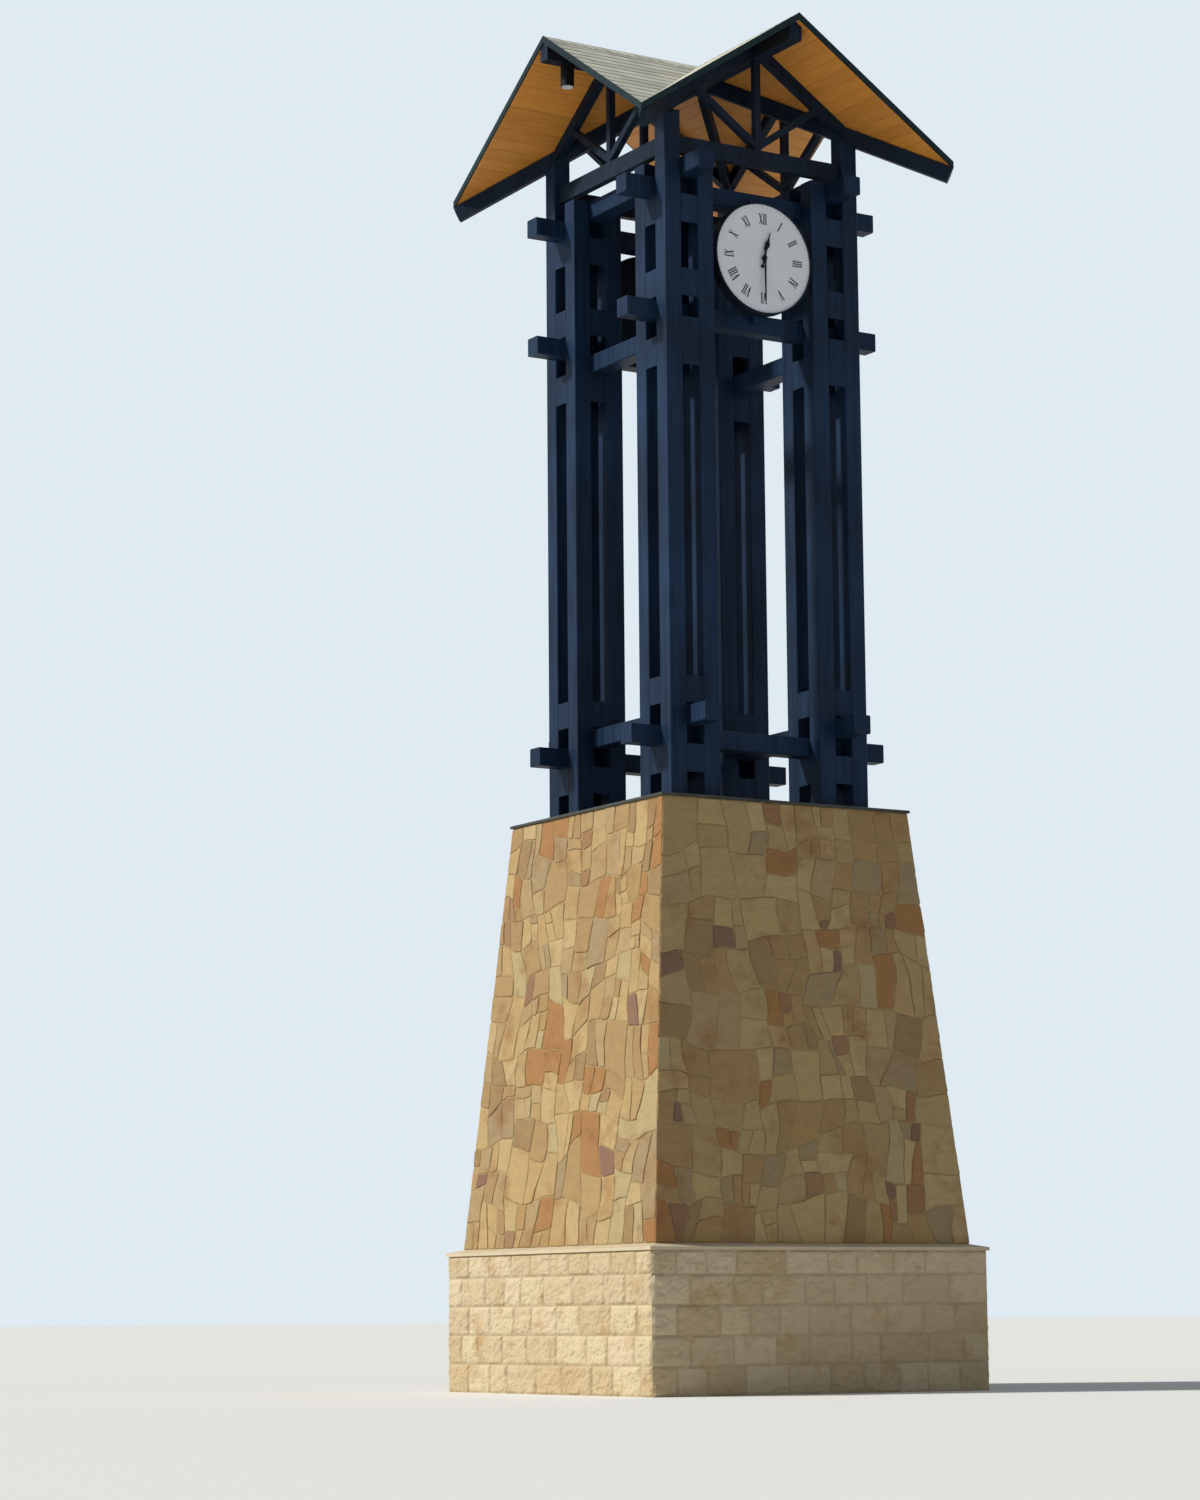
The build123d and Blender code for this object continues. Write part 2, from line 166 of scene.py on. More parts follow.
# %% Limestone and sandstone
def stone(name, tones, grain_mm, vein_mm, bump_mm, roughness, stain=None):
    """Stone whose pieces each take a tone, with mottling, bedding, stains and a rough face."""
    material, tree, shader = new_material(name, roughness=roughness, ior=1.55)
    shader.inputs["Specular IOR Level"].default_value = 0.3
    place = add_node(tree, "ShaderNodeTexCoord").outputs["Object"]
    island = add_node(tree, "ShaderNodeNewGeometry").outputs["Random Per Island"]
    ramp = add_node(tree, "ShaderNodeValToRGB", links={"Fac": island})
    ramp.color_ramp.interpolation = "CONSTANT"
    for number, tone in enumerate(tones):
        spot = number / len(tones)
        elements = ramp.color_ramp.elements
        element = elements[number] if number < 2 else elements.new(spot)
        element.position = spot
        element.color = linear(tone)
    colour = ramp.outputs["Color"]
    if stain:
        stain_width_mm = 420
        patch = add_node(tree, "ShaderNodeTexNoise",
                         {"Scale": per_metre(stain_width_mm), "Detail": 5.0, "Roughness": 0.6},
                         {"Vector": place})
        strength = add_node(tree, "ShaderNodeMapRange",
                            {"From Min": 0.53, "From Max": 0.70, "To Min": 0.0, "To Max": 0.62},
                            {"Value": patch.outputs["Fac"]})
        stained = add_node(tree, "ShaderNodeMix", {"data_type": "RGBA", 7: linear(stain)},
                           {0: strength.outputs["Result"], 6: colour})
        colour = stained.outputs[2]
    flat = add_node(tree, "ShaderNodeMapping", {"Scale": (1.0, 1.0, 1.8)}, {"Vector": place})
    mottle = add_node(tree, "ShaderNodeTexNoise",
                      {"Scale": per_metre(vein_mm), "Detail": 6.0, "Roughness": 0.62},
                      {"Vector": flat.outputs["Vector"]})
    grain = add_node(tree, "ShaderNodeTexNoise",
                     {"Scale": per_metre(grain_mm), "Detail": 3.0, "Roughness": 0.7},
                     {"Vector": place})
    shade = add_node(tree, "ShaderNodeMapRange", {"To Min": 0.80, "To Max": 1.20},
                     {"Value": mottle.outputs["Fac"]})
    speck = add_node(tree, "ShaderNodeMapRange", {"To Min": 0.88, "To Max": 1.12},
                     {"Value": grain.outputs["Fac"]})
    both = add_node(tree, "ShaderNodeMath", {"operation": "MULTIPLY"},
                    {0: shade.outputs["Result"], 1: speck.outputs["Result"]})
    coloured = add_node(tree, "ShaderNodeVectorMath", {"operation": "SCALE"},
                        {"Vector": colour, "Scale": both.outputs["Value"]})
    tree.links.new(coloured.outputs["Vector"], shader.inputs["Base Color"])
    coarse = add_node(tree, "ShaderNodeBump", {"Strength": 0.8, "Distance": bump_mm / 1000},
                      {"Height": mottle.outputs["Fac"]})
    # Pits are a third as wide as the veins and under half as deep as the bumps.
    pit_depth = bump_mm / 2200
    grain_depth = bump_mm / 4000
    pits = add_node(tree, "ShaderNodeTexNoise",
                    {"Scale": per_metre(vein_mm / 3), "Detail": 5.0, "Roughness": 0.7},
                    {"Vector": place})
    pitted = add_node(tree, "ShaderNodeBump", {"Strength": 0.7, "Distance": pit_depth},
                      {"Height": pits.outputs["Fac"], "Normal": coarse.outputs["Normal"]})
    fine = add_node(tree, "ShaderNodeBump", {"Strength": 0.5, "Distance": grain_depth},
                    {"Height": grain.outputs["Fac"], "Normal": pitted.outputs["Normal"]})
    tree.links.new(fine.outputs["Normal"], shader.inputs["Normal"])
    return material


split_limestone = stone("split_face_limestone",
                        ["#BFAE8E", "#C5B597", "#B8A582", "#C3B493", "#BBAA8A"],
                        grain_mm=9, vein_mm=150, bump_mm=14, roughness=0.92, stain="#A98655")
sawn_limestone = stone("sawn_limestone_cap", ["#C2B498"],
                       grain_mm=6, vein_mm=220, bump_mm=2, roughness=0.85)
sandstone = stone("tan_sandstone_rubble",
                  ["#A58D62", "#9D855D", "#AA9266", "#9B8057", "#A68C60", "#9F8862",
                   "#AC966C", "#987D55", "#A28D63", "#9C8054", "#A99164", "#94805F",
                   "#A0875D", "#8F7651", "#976F44", "#A4936C"],
                  grain_mm=8, vein_mm=140, bump_mm=13, roughness=0.9, stain="#855C36")
ironstone = stone("rust_brown_ironstone", ["#83634A", "#8E6B4B", "#7D5F4E", "#8F7052"],
                  grain_mm=8, vein_mm=120, bump_mm=10, roughness=0.9)
mortar = stone("sandy_lime_mortar", ["#9F8961"],
               grain_mm=5, vein_mm=90, bump_mm=2, roughness=0.95)
block_mortar = stone("pale_lime_mortar", ["#B0A182"],
                     grain_mm=5, vein_mm=90, bump_mm=2, roughness=0.95)
print("stones", split_limestone.name, sandstone.name)

# %% [markdown]
# ## Timber, shingles, dial and glass
# The ceiling is pine decking, oiled to a warm orange, with soft grain that runs along each
# board and a few small knots. The roof is covered with mineral-faced shingles, whose
# granules give a salt-and-pepper grey, so it takes the stone's material in grey tones.
# The dial is opal acrylic, a milky plastic sheet with a soft gloss, and its numbers are
# screen ink. The lamp has a frosted glass. These three are smooth, so their detail is a
# faint cloud of two tones.

# %% Pine
def pine(name, along):
    """Oiled pine whose grain runs along one axis, x or y."""
    material, tree, shader = new_material(name, roughness=0.5, ior=1.5)
    place = add_node(tree, "ShaderNodeTexCoord").outputs["Object"]
    island = add_node(tree, "ShaderNodeNewGeometry").outputs["Random Per Island"]
    # Each board is cut from another part of a trunk, so its rings are shifted.
    most_shift = 31.0
    shift = add_node(tree, "ShaderNodeMath", {"operation": "MULTIPLY", 1: most_shift},
                     {0: island})
    stretch = {"x": (0.05, 1.0, 1.0), "y": (1.0, 0.05, 1.0)}[along]
    long = add_node(tree, "ShaderNodeMapping", {"Scale": stretch}, {"Vector": place})
    # Growth rings show 4 mm apart on a planed face, and are drawn at 16 mm.
    grain_mm = 16
    grain = add_node(tree, "ShaderNodeTexNoise",
                     {"noise_dimensions": "4D", "Scale": per_metre(grain_mm), "Detail": 4.0,
                      "Distortion": 0.4},
                     {"Vector": long.outputs["Vector"], "W": shift.outputs["Value"]})
    tone = add_node(tree, "ShaderNodeValToRGB", links={"Fac": grain.outputs["Fac"]})
    tone.color_ramp.elements[0].position = 0.25
    tone.color_ramp.elements[0].color = linear("#C7802F")
    tone.color_ramp.elements[1].position = 0.75
    tone.color_ramp.elements[1].color = linear("#DC9840")
    knot_spacing_mm = 520
    knots = add_node(tree, "ShaderNodeTexVoronoi", {"Scale": per_metre(knot_spacing_mm)},
                     {"Vector": place})
    knot = add_node(tree, "ShaderNodeMapRange",
                    {"From Min": 0.02, "From Max": 0.06, "To Min": 0.45, "To Max": 1.0},
                    {"Value": knots.outputs["Distance"]})
    board = add_node(tree, "ShaderNodeMapRange", {"To Min": 0.88, "To Max": 1.10},
                     {"Value": island})
    both = add_node(tree, "ShaderNodeMath", {"operation": "MULTIPLY"},
                    {0: knot.outputs["Result"], 1: board.outputs["Result"]})
    coloured = add_node(tree, "ShaderNodeVectorMath", {"operation": "SCALE"},
                        {"Vector": tone.outputs["Color"], "Scale": both.outputs["Value"]})
    tree.links.new(coloured.outputs["Vector"], shader.inputs["Base Color"])
    bump = add_node(tree, "ShaderNodeBump", {"Strength": 0.25, "Distance": 0.001},
                    {"Height": grain.outputs["Fac"]})
    tree.links.new(bump.outputs["Normal"], shader.inputs["Normal"])
    return material


pine_deep = pine("oiled_pine_decking_deep", "y")
pine_across = pine("oiled_pine_decking_across", "x")

# %% Shingles, acrylic, ink and frosted glass
shingle_stone = stone("mineral_faced_shingle",
                      ["#BABBB0", "#C4C4B8", "#B1B3A8", "#C9C8BB", "#B6B6AA", "#BFC1B6"],
                      grain_mm=14, vein_mm=300, bump_mm=2, roughness=0.95)
felt = stone("black_roofing_felt", ["#3C3D3B"],
             grain_mm=8, vein_mm=200, bump_mm=1, roughness=0.95)


def clouded(name, dark, pale, cloud_mm, roughness, ior, detail=3.0, ends=(0.0, 1.0)):
    """A smooth finish whose colour drifts between two tones."""
    material, tree, shader = new_material(name, roughness=roughness, ior=ior)
    place = add_node(tree, "ShaderNodeTexCoord").outputs["Object"]
    cloud = add_node(tree, "ShaderNodeTexNoise",
                     {"Scale": per_metre(cloud_mm), "Detail": detail}, {"Vector": place})
    tone = add_node(tree, "ShaderNodeValToRGB", links={"Fac": cloud.outputs["Fac"]})
    for element, position, colour in zip(tone.color_ramp.elements, ends, (dark, pale)):
        element.position = position
        element.color = linear(colour)
    tree.links.new(tone.outputs["Color"], shader.inputs["Base Color"])
    return material


acrylic = clouded("opal_acrylic_dial", "#D5D9E2", "#DFE3EA",
                  cloud_mm=350, roughness=0.28, ior=1.49, ends=(0.25, 0.8))
ink = clouded("black_screen_ink", "#1E2226", "#353A40",
              cloud_mm=30, roughness=0.45, ior=1.5, detail=4.0)
grey_ink = clouded("faded_screen_ink", "#6E7276", "#8A8E91",
                   cloud_mm=30, roughness=0.45, ior=1.5, detail=4.0)
frosted_glass = clouded("frosted_glass_lens", "#C3C9CC", "#DDE1E2",
                        cloud_mm=12, roughness=0.35, ior=1.5)
print("materials", len(bpy.data.materials))

# %% [markdown]
# ## Paint the CAD nodes
# A node whose solid already has the right shape only needs a better material. The table
# pairs a part of the node's name with its finish, and a loop sets the material slots.

# %% Assign materials to the CAD nodes
finishes = {
    "plinth": block_mortar, "plinth_cap": sawn_limestone, "stone_base": mortar,
    "base_coping": sheet_paint, "column": frame_paint, "beams": frame_paint,
    "clock_bracket": frame_paint, "ridge_beam": roof_paint, "valley_beams": roof_paint,
    "truss": roof_paint, "edge_trim": trim_paint, "ceiling_front": pine_deep,
    "ceiling_back": pine_deep, "ceiling_left": pine_across, "ceiling_right": pine_across,
    "shingles": shingle_stone, "clock_case": case_paint, "dial": acrylic,
    "hour_hand": hand_paint, "minute_hand": hand_paint, "gable_lamp": lamp_paint,
    "gable_lamp_glass": frosted_glass,
}


def finish_for(node):
    """The finish whose key is the longest one found in the node's name."""
    found = [key for key in finishes if key in node]
    return finishes[max(found, key=len)]


for name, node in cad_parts.items():
    node.data.materials.clear()
    node.data.materials.append(finish_for(name))
print("painted", len(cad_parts), "nodes")

# %% [markdown]
# ## Making a piece
# Each piece is a list of points and a list of faces. The tower has four like sides, so
# most pieces are worked out for the front and turned by quarter turns about the middle.

# %% Mesh helpers
def make_piece(name, points, faces, material, body="tower"):
    """A mesh object from points and faces, with its material, body and material slot."""
    mesh = bpy.data.meshes.new(name)
    mesh.from_pydata(points, [], faces)
    mesh.materials.append(material)
    mesh.validate()
    piece = bpy.data.objects.new(name, mesh)
    bpy.context.scene.collection.objects.link(piece)
    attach(piece, body)
    print(name, "faces", len(mesh.polygons))
    return piece


def quarter(turns):
    """A turn about the tower's middle: 0 front, 1 right, 2 back, 3 left."""
    return Matrix.Rotation(math.radians(90 * turns), 4, "Z")


def bridge(faces, ring_a, ring_b):
    """Join two rings of point numbers with four-sided faces, ring_b further out."""
    for i in range(len(ring_a)):
        j = (i + 1) % len(ring_a)
        faces.append((ring_a[i], ring_a[j], ring_b[j], ring_b[i]))


SIDES = ("front", "right", "back", "left")

# %% [markdown]
# ## Rubble on the base
# The facing stones are rough slabs, mostly taller than wide, fitted together with thin
# joints that never run straight for long. Such a wall can be drawn by halving: the whole
# face is cut in two by a slanting joint, and each part again, until the parts are the size
# of one stone. A smooth noise then bends all joints alike, so neighbours still fit. Each
# stone is cut back by half a joint, its corners are worn round, and it is raised from the
# mortar with an uneven face. A few small stones are rust-brown ironstone.

# %% Measure the base
base_low, base_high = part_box("stone_base")
cap_low, cap_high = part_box("plinth_cap")
BASE_FOOT = base_high.x
BASE_RISE = base_high.z - base_low.z
head_points = [v.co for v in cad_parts["stone_base"].data.vertices
               if v.co.z > base_high.z - NEAR]
BASE_HEAD = max(abs(p.x) for p in head_points)
BATTER = math.atan2(BASE_FOOT - BASE_HEAD, BASE_RISE)
SLANT = BASE_RISE / math.cos(BATTER)
JOINT = 0.009
STONE_PROUD = 0.009
print("base foot", round(BASE_FOOT, 3), "head", round(BASE_HEAD, 3), "slant", round(SLANT, 3))


# %% Share out the face
STONE_SIZES = (0.34, 0.46, 0.56, 0.66)
TALLNESS = 1.3
CUT_SHARE = (0.36, 0.64)
LONG_JOINT = 1.2
LONG_LEAN = 0.08
SHORT_LEAN = 0.22


def cut(polygon, point, normal):
    """The part of a polygon that lies behind a line."""
    kept = []
    for here, after in zip(polygon, polygon[1:] + polygon[:1]):
        side_here = (here - point).dot(normal)
        side_after = (after - point).dot(normal)
        if side_here <= 0:
            kept.append(here)
        if side_here * side_after < 0:
            kept.append(here.lerp(after, side_here / (side_here - side_after)))
    return kept


def halve(polygon, rng):
    """Split an area with slanting joints until each part is the size of one stone."""
    width = max(p.x for p in polygon) - min(p.x for p in polygon)
    height = max(p.y for p in polygon) - min(p.y for p in polygon)
    if max(width * TALLNESS, height) < rng.choice(STONE_SIZES):
        return [polygon]
    share = rng.uniform(*CUT_SHARE)
    lean = SHORT_LEAN if height < LONG_JOINT else LONG_LEAN
    slope = rng.uniform(-lean, lean)
    if width * TALLNESS > height:
        point = Vector((min(p.x for p in polygon) + width * share,
                        sum(p.y for p in polygon) / len(polygon)))
        normal = Vector((1, slope)).normalized()
    else:
        point = Vector((sum(p.x for p in polygon) / len(polygon),
                        min(p.y for p in polygon) + height * share))
        normal = Vector((slope, 1)).normalized()
    parts = [cut(polygon, point, normal), cut(polygon, point, -normal)]
    return [smaller for part in parts if len(part) > 2 for smaller in halve(part, rng)]


# %% Shape one outline
CORNER_WEAR = (0.010, 0.034)
MOST_WORN_SHARE = 0.35
CORNER_ROUNDING = 0.6
EDGE_END_SHARE = 0.2
EDGE_STEP = 0.08
EDGE_WANDER = 0.005
STILL_MARGIN = 0.35
JOINT_WAVES = ((0.9, 0.20), (2.6, 0.085))
NOISE_SHIFT = 7.0


def polygon_area(polygon):
    """Area inside an outline, positive when it runs anticlockwise."""
    pairs = zip(polygon, polygon[1:] + polygon[:1])
    return sum(a.x * b.y - b.x * a.y for a, b in pairs) / 2


def cut_back(polygon, gap):
    """The outline moved in by a gap on every side."""
    smaller = list(polygon)
    for here, after in zip(polygon, polygon[1:] + polygon[:1]):
        along = after - here
        if along.length > TINY and smaller:
            outward = Vector((along.y, -along.x)).normalized()
            smaller = cut(smaller, here - outward * gap, outward)
    return smaller


def worn_outline(polygon, rng):
    """The outline with round corners and edges that wander by a few millimetres."""
    outline = []
    for before, here, after in zip(polygon[-1:] + polygon[:-1], polygon,
                                   polygon[1:] + polygon[:1]):
        worn = rng.uniform(*CORNER_WEAR)
        back_share = min(MOST_WORN_SHARE, worn / max((before - here).length, TINY))
        ahead_share = min(MOST_WORN_SHARE, worn / max((after - here).length, TINY))
        back = here.lerp(before, back_share)
        ahead = here.lerp(after, ahead_share)
        outline += [back, here.lerp((back + ahead) / 2, CORNER_ROUNDING), ahead]
        far = after.lerp(here, EDGE_END_SHARE)
        steps = int((far - ahead).length / EDGE_STEP)
        across = Vector((here.y - after.y, after.x - here.x)).normalized()
        for step in range(1, steps):
            wander = across * rng.uniform(0, EDGE_WANDER)
            outline.append(ahead.lerp(far, step / steps) + wander)
    return outline


def bend(spot, turn):
    """A point of the face moved with the joints, in long and in short waves.

    Near the edges of the face the points stay where they are.
    """
    half_width = BASE_FOOT + (BASE_HEAD - BASE_FOOT) * spot.y / SLANT
    margin = min(half_width - abs(spot.x), spot.y, SLANT - spot.y)
    free = max(0.0, min(1.0, margin / STILL_MARGIN))
    shift = Vector((0, 0))
    for waves, reach in JOINT_WAVES:
        layer = turn * NOISE_SHIFT
        across = noise.noise(Vector((spot.x * waves, spot.y * waves, layer)))
        along = noise.noise(Vector((spot.x * waves, spot.y * waves, layer + NOISE_SHIFT / 2)))
        shift += Vector((across, along)) * reach
    return spot + shift * free


def on_base(u, v, w, turn):
    """A point u along and v up a face of the base, and w out from it."""
    out = Vector((0, -math.cos(BATTER), math.sin(BATTER)))
    up = Vector((0, math.sin(BATTER), math.cos(BATTER)))
    point = Vector((u, -BASE_FOOT, base_low.z)) + up * v + out * w
    return quarter(turn) @ point


# %% Build the stones
PROUD_SPREAD = 0.003
STONE_TILT = 0.022
STONE_SWELL = 0.005
SWELLS_A_METRE = 8
STONE_FOOT = -0.004
LOWEST_FACE = 0.003
HIGHEST_FACE = 0.020
SMALLEST_STONE = 0.004
LARGEST_IRONSTONE = 0.060
IRONSTONE_SHARE = 0.13
# Each ring's share of the way to the middle, and its drop below the face. The foot has none.
STONE_RINGS = ((0.0, None), (0.0, 0.006), (0.05, 0.0), (0.36, 0.0), (0.70, 0.0))


def raise_stone(points, faces, outline, turn, rng):
    """One stone: upright sides, a worn edge and a tilted, uneven face."""
    centre = sum(outline, Vector((0, 0))) / len(outline)
    proud = STONE_PROUD + rng.uniform(-PROUD_SPREAD, PROUD_SPREAD)
    tilt = Vector((rng.uniform(-STONE_TILT, STONE_TILT), rng.uniform(-STONE_TILT, STONE_TILT)))
    rings = []
    for share, edge_drop in STONE_RINGS:
        first = len(points)
        for p in outline:
            spot = p.lerp(centre, share)
            place = Vector((spot.x * SWELLS_A_METRE, spot.y * SWELLS_A_METRE, turn * NOISE_SHIFT))
            lift = STONE_SWELL * noise.noise(place)
            lift += tilt.dot(spot - centre)
            height = STONE_FOOT
            if edge_drop is not None:
                height = max(LOWEST_FACE, proud + lift - edge_drop)
            points.append(on_base(spot.x, spot.y, min(height, HIGHEST_FACE), turn))
        rings.append(list(range(first, len(points))))
    for inner, outer in zip(rings, rings[1:]):
        bridge(faces, inner, outer)
    points.append(on_base(centre.x, centre.y, proud, turn))
    last = rings[-1]
    for i, number in enumerate(last):
        faces.append((number, last[(i + 1) % len(last)], len(points) - 1))
    faces.append(tuple(reversed(rings[0])))


for turn, side in enumerate(SIDES):
    rng = random.Random(40 + turn)
    tan = ([], [])
    rusty = ([], [])
    face = [Vector((-BASE_FOOT - STONE_PROUD, 0)), Vector((BASE_FOOT + STONE_PROUD, 0)),
            Vector((BASE_HEAD + STONE_PROUD, SLANT)), Vector((-BASE_HEAD - STONE_PROUD, SLANT))]
    parts = [cut_back(part, JOINT / 2) for part in halve(face, rng)]
    parts = [part for part in parts if len(part) > 2 and polygon_area(part) > SMALLEST_STONE]
    for part in parts:
        iron = polygon_area(part) < LARGEST_IRONSTONE and rng.random() < IRONSTONE_SHARE
        points, faces = rusty if iron else tan
        outline = [bend(p, turn) for p in worn_outline(part, rng)]
        raise_stone(points, faces, outline, turn, rng)
    make_piece("rubble_" + side, tan[0], tan[1], sandstone)
    make_piece("ironstones_" + side, rusty[0], rusty[1], ironstone)
    print(side, "stones", len(parts))

# %% [markdown]
# ## Blocks of the plinth
# Limestone blocks 305 mm high are laid in five courses with broken joints. Their faces
# are split, not sawn, so each one bulges by two centimetres inside a tidy margin. A grid
# of points is pushed out by smooth noise, and the joints stay at the mortar.

# %% Build the split-face blocks
plinth_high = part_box("plinth")[1]
PLINTH_HALF = plinth_high.x
COURSES = 5
COURSE = (plinth_high.z + (cap_high.z - cap_low.z)) / COURSES
BLOCK_JOINT = 0.010
BLOCK_EDGE = 0.002
BLOCK_SINK = 0.004
BLOCK_GRID = 0.024
FIRST_BLOCKS = (0.30, 0.46)
BLOCK_WIDTHS = (0.36, 0.41, 0.46, 0.52, 0.61)
SMALLEST_BLOCK = 0.22
# How far a point rises on the outermost ring, on the next and further in.
RISE_SHARES = (0.0, 0.85, 1.0)
SPLIT_RISE = 0.017
SWELL_RISE = 0.016
CHIP_RISE = 0.014
HIGHEST_RISE = 0.026
# Waves in a metre, along a course and up it.
SWELL_WAVES = (7, 10)
CHIP_WAVES = (19, 25)


def split_block(points, faces, u0, u1, z0, z1, turn):
    """One block's split face on a side of the plinth."""
    columns = max(4, round((u1 - u0) / BLOCK_GRID))
    rows = max(4, round((z1 - z0) / BLOCK_GRID))
    first = len(points)
    for row in range(rows + 1):
        for column in range(columns + 1):
            u = u0 + (u1 - u0) * column / columns
            z = z0 + (z1 - z0) * row / rows
            inside = min(column, columns - column, row, rows - row)
            swell_spot = Vector((u * SWELL_WAVES[0], turn * 9.0 + u0, z * SWELL_WAVES[1]))
            chip_spot = Vector((u * CHIP_WAVES[0], turn * 5.0, z * CHIP_WAVES[1]))
            swell = noise.noise(swell_spot) * SWELL_RISE
            chip = noise.noise(chip_spot) * CHIP_RISE
            rise = RISE_SHARES[min(inside, 2)] * (SPLIT_RISE + swell + chip)
            depth = BLOCK_EDGE + max(0.0, min(HIGHEST_RISE, rise))
            points.append(quarter(turn) @ Vector((u, -PLINTH_HALF - depth, z)))
    wide = columns + 1
    for row in range(rows):
        for column in range(columns):
            a = first + row * wide + column
            faces.append((a, a + 1, a + wide + 1, a + wide))
    back = len(points)
    for u, z in ((u0, z0), (u1, z0), (u1, z1), (u0, z1)):
        points.append(quarter(turn) @ Vector((u, -PLINTH_HALF + BLOCK_SINK, z)))
    last = first + rows * wide
    faces.append((*range(first + columns, first - 1, -1), back, back + 1))
    faces.append((*range(last + columns, first, -wide), back + 1, back + 2))
    faces.append((*range(last, last + wide), back + 2, back + 3))
    faces.append((*range(first, last + 1, wide), back + 3, back))
    faces.append((back + 3, back + 2, back + 1, back))


for turn, side in enumerate(SIDES):
    rng = random.Random(70 + turn)
    points, faces = [], []
    for course in range(COURSES):
        z0 = course * COURSE
        z1 = min((course + 1) * COURSE - BLOCK_JOINT, cap_low.z - BLOCK_JOINT / 2)
        end = PLINTH_HALF + BLOCK_EDGE
        u = -end
        width = FIRST_BLOCKS[(course + turn) % 2]
        while u < end - BLOCK_JOINT:
            u1 = min(u + width, end)
            if end - u1 < SMALLEST_BLOCK:
                u1 = end
            split_block(points, faces, u, u1 - (BLOCK_JOINT if u1 < end else 0), z0, z1, turn)
            u = u1
            width = rng.choice(BLOCK_WIDTHS)
    make_piece("blocks_" + side, points, faces, split_limestone)

# %% [markdown]
# ## Ceiling boards
# The decking is thick pine with a tongue and a groove, laid parallel to each ridge. Its
# lower edges are planed off, so each joint reads as a small V. Each board is a long
# prism that is cut to the valley at one end, and stands for its share of the CAD deck.

# %% Measure the roof
BOARD = 0.130
GROOVE = 0.007
BOARD_GAP = 0.0005
ceiling_low, ceiling_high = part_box("ceiling_front")
DECK_HALF = -ceiling_low.y
DECK_TOP = ceiling_high.z
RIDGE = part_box("shingles_front")[1].z


def eave_height(node):
    """The highest point of a roof node at the foot of its slope."""
    return max(v.co.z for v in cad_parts[node].data.vertices
               if abs(v.co.x) > DECK_HALF - NEAR)


SLOPE = (RIDGE - eave_height("shingles_front")) / DECK_HALF
CEILING = DECK_TOP - (eave_height("ceiling_front") - ceiling_low.z)
print("slope", round(SLOPE, 4), "ridge", round(RIDGE, 3), "deck", round(DECK_TOP, 3),
      "ceiling", round(CEILING, 3))


# %% Lay the boards
def gable_prism(points, faces, profile, turn, side):
    """A prism along a slope, from the rake to the valley, mitred at the valley.

    The profile is a list of (distance from the ridge, height) pairs.
    """
    first = len(points)
    count = len(profile)
    for x, z in profile:
        points.append(quarter(turn) @ Vector((side * x, -DECK_HALF, z)))
    for x, z in profile:
        points.append(quarter(turn) @ Vector((side * x, -x, z)))
    near = list(range(first, first + count))
    far = list(range(first + count, first + 2 * count))
    if side < 0:
        near.reverse()
        far.reverse()
    bridge(faces, far, near)
    faces.append(tuple(near))
    faces.append(tuple(reversed(far)))


def board_profile(x0, x1):
    """Cross-section of a board with its two lower edges planed off."""
    return [(x0, DECK_TOP - SLOPE * x0), (x0, CEILING - SLOPE * x0 + GROOVE),
            (x0 + GROOVE, CEILING - SLOPE * (x0 + GROOVE)),
            (x1 - GROOVE, CEILING - SLOPE * (x1 - GROOVE)),
            (x1, CEILING - SLOPE * x1 + GROOVE), (x1, DECK_TOP - SLOPE * x1)]


for turn, name in enumerate(SIDES):
    points, faces = [], []
    count = round(DECK_HALF / BOARD)
    for side in (-1, 1):
        for board in range(count):
            x0 = DECK_HALF * board / count
            x1 = DECK_HALF * (board + 1) / count - BOARD_GAP
            gable_prism(points, faces, board_profile(x0, x1), turn, side)
    grain = pine_deep if turn % 2 == 0 else pine_across
    boards = make_piece("boards_" + name, points, faces, grain)
    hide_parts("ceiling_" + name)

# %% [markdown]
# ## Shingles
# Shingles are laid from the eaves up in courses 140 mm apart. Each one is thicker at its
# lower edge, and its sides fall over the middles of the course below. Where two slopes
# meet in a valley, the shingles are cut along it, and a bent cap covers each ridge. Under
# them lies the boarding with its felt, which closes the joints.

# %% Lay the shingles
EXPOSURE = 0.140
TAB = 0.30
TAB_SPREAD = 0.02
TAB_SLOT = 0.004
NARROWEST_TAB = 0.03
FELT_DROP = 0.015
HEAD_DROP = 0.014
BUTT_DROP = 0.005
CAP_WING = 0.13
CAP_TILT = 0.004
CAP_DROP = 0.008
SHORTEST_CAP = 0.02
SMALLEST_TAB = 1e-5
FELT_SETBACK = 0.001


def roof_z(x, drop):
    """Height of the roof at a distance from its ridge, some way under the CAD surface."""
    return RIDGE - SLOPE * x - drop


def add_tab(points, faces, turn, side, x0, x1, y0, y1):
    """One shingle between two distances from the ridge and two along it, cut at the valley."""
    valley_side = Vector((1, -1)).normalized()
    outline = cut([Vector((x0, y0)), Vector((x1, y0)), Vector((x1, y1)), Vector((x0, y1))],
                  Vector((0, 0)), valley_side)
    if len(outline) < 3 or polygon_area(outline) < SMALLEST_TAB:
        return
    rings = []
    for layer in ("under", "top"):
        first = len(points)
        for p in outline:
            butt = (p.x - x0) / (x1 - x0)
            drop = HEAD_DROP - (HEAD_DROP - BUTT_DROP) * butt
            drop = FELT_DROP if layer == "under" else drop
            points.append(quarter(turn) @ Vector((side * p.x, -p.y, roof_z(p.x, drop))))
        ring = list(range(first, len(points)))
        rings.append(ring[::-1] if side > 0 else ring)
    bridge(faces, rings[0], rings[1])
    faces.append(tuple(rings[1]))
    faces.append(tuple(reversed(rings[0])))


